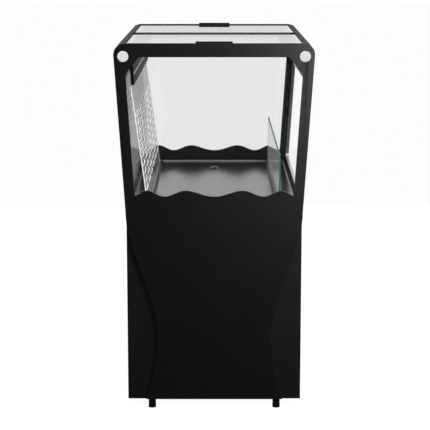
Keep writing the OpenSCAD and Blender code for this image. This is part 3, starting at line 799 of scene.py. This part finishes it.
@dataclass
class Screen:
    """The slotted sheet, the weir and the strips that hold them.

    Args:
        shop: The workshop.
        sheet: Thickness of the sheet.
        slot: Length and width of a slot.
        pitch: Height from row to row.
        base: Height of the lowest row above the sheet's foot.
        head: Least height left above the highest row.
        bridge: Least length left between two slots of a row.
        passes: Number of times that the angle of the lean is refined.
    """

    shop: Workshop
    sheet: float = 4 * MM
    slot: tuple[float, float] = (112 * MM, 13 * MM)
    pitch: float = 25 * MM
    base: float = 55 * MM
    head: float = 88 * MM
    bridge: float = 30 * MM
    passes: int = 8

    def build(self) -> None:
        """Builds what divides the tank."""
        self.slotted_sheet()
        self.shop.shell("glass_weir", WEIR, 0.6 * MM, WEIR_EDGE, 2, rim=True)
        self.shop.shell("floor_strips", STRIP, 0.8 * MM)

    def lean(self) -> float:
        """The angle at which the sheet leans outwards, out of its box."""
        low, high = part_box("slotted_sheet")
        angle = 0.0
        for _ in range(self.passes):
            angle = math.atan2(high.x - low.x - self.sheet * math.cos(angle),
                               high.z - low.z - self.sheet * math.sin(angle))
        return angle

    def slotted_sheet(self) -> None:
        """Cuts the sheet's slots by rule and leans it against the wall's slope."""
        low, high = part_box("slotted_sheet")
        angle = self.lean()
        height = (high.z - low.z - self.sheet * math.sin(angle)) / math.cos(angle)
        length = high.y - low.y
        rows = 1 + int((height - self.base - self.head) / self.pitch)
        columns = int(length / (self.slot[0] + self.bridge))
        tree = Tree("slotted_sheet_panel", {
            "length": length, "height": height, "thickness": self.sheet, "slot length": self.slot[0],
            "slot width": self.slot[1], "pitch": self.pitch, "base": self.base, "rows": rows,
            "columns": columns})
        outline = tree.moved(tree.add("CurvePrimitiveQuadrilateral", None, {
            "Width": tree.size("length"), "Height": tree.size("height")}),
            tree.vector(y=tree.sum("MULTIPLY", tree.size("height"), 0.5)))
        opening = tree.add("FilletCurve", {"mode": "POLY"}, {
            "Curve": tree.add("CurvePrimitiveQuadrilateral", None, {
                "Width": tree.size("slot length"), "Height": tree.size("slot width")}),
            "Count": 6, "Radius": tree.sum("MULTIPLY", tree.size("slot width"), 0.499),
            "Limit Radius": True})
        stride = tree.sum("DIVIDE", tree.size("length"), tree.size("columns"))
        wide = tree.sum("MULTIPLY", stride, tree.sum("SUBTRACT", tree.size("columns"), 1))
        tall = tree.sum("MULTIPLY", tree.size("pitch"), tree.sum("SUBTRACT", tree.size("rows"), 1))
        grid = tree.moved(tree.add("MeshGrid", None, {
            "Size X": wide, "Size Y": tall, "Vertices X": tree.size("columns"),
            "Vertices Y": tree.size("rows")}),
            tree.vector(y=tree.sum("ADD", tree.size("base"), tree.sum("MULTIPLY", tall, 0.5))))
        panel, walls = tree.slab([outline, tree.copies(grid, opening)], tree.size("thickness"))
        obj = tree.build(self.shop, panel, SCREEN, walls, SCREEN_EDGE)
        up = Vector((-math.sin(angle), 0, math.cos(angle)))
        out = Vector((-math.cos(angle), 0, -math.sin(angle)))
        foot = Vector((high.x, (low.y + high.y) / 2, low.z + self.sheet * math.sin(angle)))
        obj.data.transform(turned(Vector((0, -1, 0)), up, out, foot))
        bevel(obj, 0.7 * MM, 1, 1)
        self.shop.place(obj, "slotted_sheet", ["slotted_sheet"])


@dataclass
class LightBar:
    """The bar above the slotted sheet.

    Args:
        shop: The workshop.
        chip: Width of a light chip.
        gap: Spacing of the chips.
        thick: Thickness of a chip.
    """

    shop: Workshop
    chip: float = 3.2 * MM
    gap: float = 24 * MM
    thick: float = 0.8 * MM

    def build(self) -> None:
        """Builds the housing, lens, chips and hangers."""
        self.shop.shell("light_bar_housing", LIGHT, 1.2 * MM)
        self.shop.shell("light_bar_lens", LENS, 0.4 * MM)
        self.chips()
        self.shop.shell("light_bar_hangers", STRIP, 0.6 * MM)

    def chips(self) -> None:
        """Lays a row of light chips along the middle of the lens."""
        low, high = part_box("light_bar_lens")
        inner = max(frame["nodes"]["light_bar_lens"].data.vertices, key=lambda vert: vert.co.x).co.x
        tree = Tree("light_chips", {
            "chip": self.chip, "thickness": self.thick, "length": high.y - low.y - 2 * self.gap,
            "count": int((high.y - low.y) / self.gap) - 1})
        outline = tree.add("FilletCurve", {"mode": "POLY"}, {
            "Curve": tree.add("CurvePrimitiveQuadrilateral", None, {
                "Width": tree.size("chip"), "Height": tree.size("chip")}),
            "Count": 3, "Radius": tree.sum("MULTIPLY", tree.size("chip"), 0.2), "Limit Radius": True})
        chip, _ = tree.slab([outline], tree.size("thickness"))
        row = tree.add("MeshLine", {"mode": "END_POINTS"}, {
            "Count": tree.size("count"),
            "Start Location": tree.vector(y=tree.sum("MULTIPLY", tree.size("length"), -0.5)),
            "Offset": tree.vector(y=tree.sum("MULTIPLY", tree.size("length"), 0.5))})
        obj = tree.build(self.shop, tree.copies(row, chip), LED)
        middle = Vector(((low.x + high.x) / 2, (low.y + high.y) / 2, (low.z + high.z) / 2))
        middle.x = (inner + middle.x) / 2
        obj.data.transform(turned(Vector((0, 0, -1)), Vector((0, 1, 0)), Vector((1, 0, 0)), middle))
        self.shop.place(obj, "light_bar_lens")


@dataclass
class Lid:
    """One lid: pane, hinge strip and handle."""

    shop: Workshop
    side: Side

    def build(self) -> None:
        """Builds the lid."""
        self.shop.shell("lid_glass_" + self.side.tag, LID_GLASS, 0.7 * MM, GLASS_EDGE, 2, rim=True)
        self.shop.shell("lid_strip_" + self.side.tag, STRIP, 0.7 * MM)
        self.shop.shell("lid_handle_" + self.side.tag, HANDLE, 0.9 * MM)


@dataclass
class Drain:
    """The drain through the floor, with its valve.

    Args:
        shop: The workshop.
        wall: Wall of the hose tail.
        collar: Height of its collar.
        barb: Depth of a barb.
        barbs: Number of barbs.
        run: Length of a barb's slope.
        chamfer: Broken edge of the collar.
    """

    shop: Workshop
    wall: float = 2.5 * MM
    collar: float = 6 * MM
    barb: float = 0.9 * MM
    barbs: int = 4
    run: float = 4 * MM
    chamfer: float = 0.6 * MM

    def build(self) -> None:
        """Builds the fittings."""
        for node in ("drain_strainer", "drain_fitting", "drain_nut", "valve_body"):
            self.shop.shell(node, PIPE, 0.5 * MM)
        self.hose_tail()
        self.shop.shell("valve_stem", STEEL, 0.3 * MM)
        self.shop.shell("valve_lever", LEVER, 1.2 * MM)

    def hose_tail(self) -> None:
        """Turns the tail that a hose is pushed onto, with its barbs."""
        low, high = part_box("hose_tail")
        collar = (high.x - low.x) / 2
        tail = collar * 2 / 3
        bore = tail - self.wall
        tall = high.z - low.z
        shoulder = tall - self.collar
        profile = [(bore, tall), (collar - self.chamfer, tall), (collar, tall - self.chamfer),
                   (collar, shoulder + self.chamfer), (collar - self.chamfer, shoulder),
                   (tail - self.barb, shoulder)]
        for step in range(self.barbs):
            top = shoulder * (1 - (step + 0.5) / (self.barbs + 0.5))
            profile += [(tail - self.barb, top), (tail, top), (tail - self.barb, top - self.run)]
        profile += [(tail - self.barb, 0.0), (bore, 0.0)]
        axis = Matrix.Translation(((low.x + high.x) / 2, (low.y + high.y) / 2, low.z))
        obj = self.shop.object("hose_tail_turned", lathe(profile, axis, 40, bored=True), [PIPE])
        self.shop.place(obj, "hose_tail", ["hose_tail"])


@dataclass
class Cabinet:
    """The carcass with its screws, grommet and feet.

    Args:
        shop: The workshop.
        head: Radius of the heads of the screws inside the cabinet.
        rise: Height of those heads.
        shank: Radius of those screws.
        flutes: Number of flutes round a foot.
        collar: Height of a foot's fluted collar.
        rows: Number of feet across and along the cabinet.
    """

    shop: Workshop
    head: float = 4.5 * MM
    rise: float = 2.5 * MM
    shank: float = 2.0 * MM
    flutes: int = 28
    collar: float = 12 * MM
    rows: tuple[int, int] = (2, 3)

    def build(self) -> None:
        """Builds the carcass."""
        for part in ("end_front", "end_rear", "back", "top", "bottom", "divider"):
            self.shop.shell("cabinet_" + part, BOARD, 0.8 * MM)
        for node in ("board_screws", "foot_bolts", "door_pivots"):
            self.shop.shell(node, STEEL, 0.3 * MM)
        self.inner_screws()
        self.shop.shell("cable_grommet", STRIP, 1.0 * MM)
        self.shop.shell("door_catches", STRIP, 0.8 * MM)
        self.shop.shell("pivot_washers", NYLON, 0.2 * MM)
        self.feet()

    def inner_screws(self) -> None:
        """Sets the cross-headed screws that hold the end panels, four at each end."""
        low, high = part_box("inner_screws")
        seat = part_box("cabinet_end_rear")[0].y
        tree = Tree("cross_screws", {
            "head": self.head, "rise": self.rise, "shank": self.shank, "reach": high.y - seat,
            "wide": high.x - low.x - 2 * self.head, "tall": high.z - low.z - 2 * self.head, "seat": seat,
            "height": (low.z + high.z) / 2})
        grid = tree.add("MeshGrid", None, {
            "Size X": tree.size("wide"), "Size Y": tree.size("tall"), "Vertices X": 2, "Vertices Y": 2})
        plate = tree.copies(grid, cross_screw(tree))
        ends = []
        for sign in (-1, 1):
            spot = tree.vector(y=tree.sum("MULTIPLY", tree.size("seat"), sign), z=tree.size("height"))
            ends.append(tree.moved(plate, spot, (sign * math.pi / 2, 0.0, 0.0)))
        obj = tree.build(self.shop, tree.add("JoinGeometry", None, {"Geometry": ends}), STEEL)
        self.shop.place(obj, "inner_screws", ["inner_screws"])

    def feet(self) -> None:
        """Stands the cabinet on fluted feet, in even rows."""
        low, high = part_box("feet")
        across, along = self.rows
        radius = self.foot_radius()
        tree = Tree("fluted_feet", {
            "radius": radius, "flutes": self.flutes, "rise": self.collar, "height": high.z - low.z,
            "wide": high.x - low.x - 2 * radius, "long": high.y - low.y - 2 * radius,
            "across": across, "along": along})
        grid = tree.add("MeshGrid", None, {
            "Size X": tree.size("wide"), "Size Y": tree.size("long"),
            "Vertices X": tree.size("across"), "Vertices Y": tree.size("along")})
        obj = tree.build(self.shop, tree.copies(grid, fluted_foot(tree)), FOOT)
        self.shop.place(obj, "feet", ["feet"])

    def foot_radius(self) -> float:
        """The radius of a foot, half the width of the row of feet on the right."""
        right = [vert.co.x for vert in frame["nodes"]["feet"].data.vertices if vert.co.x > 0]
        return (max(right) - min(right)) / 2


@dataclass
class Door:
    """One door with its knob and catch plate."""

    shop: Workshop
    side: Side

    def build(self) -> None:
        """Builds the door."""
        self.shop.shell("door_" + self.side.tag, BOARD, 1.0 * MM)
        self.shop.shell("door_knob_" + self.side.tag, HANDLE, 1.2 * MM)
        self.shop.shell("door_plates" + ("" if self.side is Side.FRONT else "_rear"), STEEL, 0.2 * MM)


@dataclass(frozen=True)
class SoftBox:
    """One rectangular light.

    Args:
        name: Its name.
        where: Its centre.
        target: The point that it faces.
        size: Its width and height.
        watts: Its power.
        soft: Whether it lights surfaces softly.
        sheen: Whether surfaces mirror it.
    """

    name: str
    where: Triple
    target: Triple
    size: tuple[float, float]
    watts: float
    soft: bool = True
    sheen: bool = True


SHEEN = SoftBox("sheen", (0.8, -1.05, 1.1), (0.2, -0.5, 0.8), (0.4, 0.6), 31.0, soft=False)
LIGHTS = (SoftBox("fill", (0.3, -3.2, 2.6), (0.0, -0.5, 0.9), (1.6, 1.0), 96.0, sheen=False),
          SoftBox("top", (0.1, -0.1, 2.9), (0.0, 0.0, 1.0), (1.5, 1.5), 26.0),
          SoftBox("right", (2.6, 0.7, 1.6), (0.0, 0.0, 0.6), (1.2, 1.4), 30.0),
          SoftBox("rear", (-1.9, 2.4, 2.0), (0.0, 0.0, 0.7), (1.4, 1.4), 50.0))
SHINY = ("end_panel_front", "end_panel_rear", "cabinet_end_front", "cabinet_end_rear")


@dataclass
class Studio:
    """Floor, backdrop, lights, world and camera.

    Args:
        eye: Place of the camera.
        pitch: Degrees that it looks down.
        lens: Focal length in millimetres.
        film: Width of the camera's frame in millimetres.
        ambient: Brightness of the room around the object.
        shiny: The pieces that the sheen light reaches; it reaches nothing else.
    """

    eye: Triple = (0.0025, -4.902, 1.431)
    pitch: float = 10.59
    lens: float = 124.44
    film: float = 36.0
    ambient: float = 0.075
    shiny: bpy.types.Collection = field(init=False)

    def build(self) -> None:
        """Sets the stage."""
        scene = bpy.context.scene
        self.shiny = bpy.data.collections.new("end_panels")
        scene.view_settings.view_transform = "Standard"
        scene.cycles.transparent_max_bounces = 32
        scene.cycles.max_bounces = 12
        self.camera()
        self.world()
        self.stage()
        self.light(SHEEN).light_linking.receiver_collection = self.shiny
        for box in LIGHTS:
            self.light(box)

    def camera(self) -> None:
        """Places the camera."""
        data = bpy.data.cameras.new("camera")
        data.lens = self.lens
        data.sensor_width = self.film
        obj = bpy.data.objects.new("camera", data)
        obj.location = self.eye
        obj.rotation_euler = (math.radians(90 - self.pitch), 0.0, 0.0)
        bpy.context.scene.collection.objects.link(obj)
        bpy.context.scene.camera = obj

    def world(self) -> None:
        """A dim room that looks white behind the object."""
        world = bpy.data.worlds.new("room")
        world.use_nodes = True
        tree = world.node_tree
        seen = tree.nodes["Background"]
        seen.inputs["Color"].default_value = (1.0, 1.0, 1.0, 1.0)
        room = tree.nodes.new("ShaderNodeBackground")
        room.inputs["Color"].default_value = (self.ambient, self.ambient, self.ambient, 1.0)
        blend = tree.nodes.new("ShaderNodeMixShader")
        rays = tree.nodes.new("ShaderNodeLightPath")
        tree.links.new(rays.outputs["Is Camera Ray"], blend.inputs[0])
        tree.links.new(room.outputs[0], blend.inputs[1])
        tree.links.new(seen.outputs[0], blend.inputs[2])
        tree.links.new(blend.outputs[0], tree.nodes["World Output"].inputs["Surface"])
        bpy.context.scene.world = world

    def light(self, box: SoftBox) -> bpy.types.Object:
        """Adds a soft box.

        Args:
            box: What it is like.

        Returns:
            The light.
        """
        data = bpy.data.lights.new(box.name, "AREA")
        data.shape = "RECTANGLE"
        data.size, data.size_y = box.size
        data.energy = box.watts
        obj = bpy.data.objects.new(box.name, data)
        obj.location = box.where
        obj.visible_camera = False
        obj.visible_diffuse = box.soft
        obj.visible_glossy = box.sheen
        facing = Vector(box.target) - Vector(box.where)
        obj.rotation_euler = facing.to_track_quat("-Z", "Y").to_euler()
        bpy.context.scene.collection.objects.link(obj)
        return obj

    def stage(self) -> None:
        """Adds the pale floor, and a bright screen behind the object that only mirrors show."""
        for name, size, spot, turn, pale in (("floor", 40.0, (0.0, 8.0, 0.0), 0.0, 0.12),
                                             ("screen", 7.0, (0.0, 3.0, 1.6), 90.0, 0.0)):
            mesh = bpy.data.meshes.new(name)
            work = bmesh.new()
            bmesh.ops.create_grid(work, x_segments=1, y_segments=1, size=size / 2)
            bmesh.ops.transform(work, verts=work.verts, matrix=Matrix.Translation(spot)
                                @ Matrix.Rotation(math.radians(turn), 4, "X"))
            work.to_mesh(mesh)
            work.free()
            paint = Paint(name)
            tone = paint.mix(paint.noise(0.4), (pale, pale, pale), (pale * 1.03, pale * 1.03, pale * 1.03))
            mesh.materials.append(paint.done(paint.shader({
                "Base Color": tone, "Roughness": 0.9, "Specular IOR Level": 0.0,
                "Emission Color": (1.0, 1.0, 1.0), "Emission Strength": 0.97 if pale else 1.0})))
            obj = bpy.data.objects.new(name, mesh)
            obj.visible_diffuse = False
            obj.visible_glossy = not pale
            obj.visible_camera = bool(pale)
            bpy.context.scene.collection.objects.link(obj)


def main() -> None:
    """Builds every sub-assembly in order."""
    logging.basicConfig(level=logging.INFO, format="%(name)s: %(message)s")
    shop = Workshop(frame["record"])
    studio = Studio()
    studio.build()
    for part in (EndPanels(shop), TankFrame(shop), TankGlass(shop), Screen(shop), LightBar(shop),
                 Lid(shop, Side.FRONT), Lid(shop, Side.REAR), Drain(shop), Cabinet(shop),
                 Door(shop, Side.FRONT), Door(shop, Side.REAR)):
        part.build()
    for node in SHINY:
        studio.shiny.objects.link(bpy.data.objects[node + "_shell"])


if __name__ == "__main__":
    main()
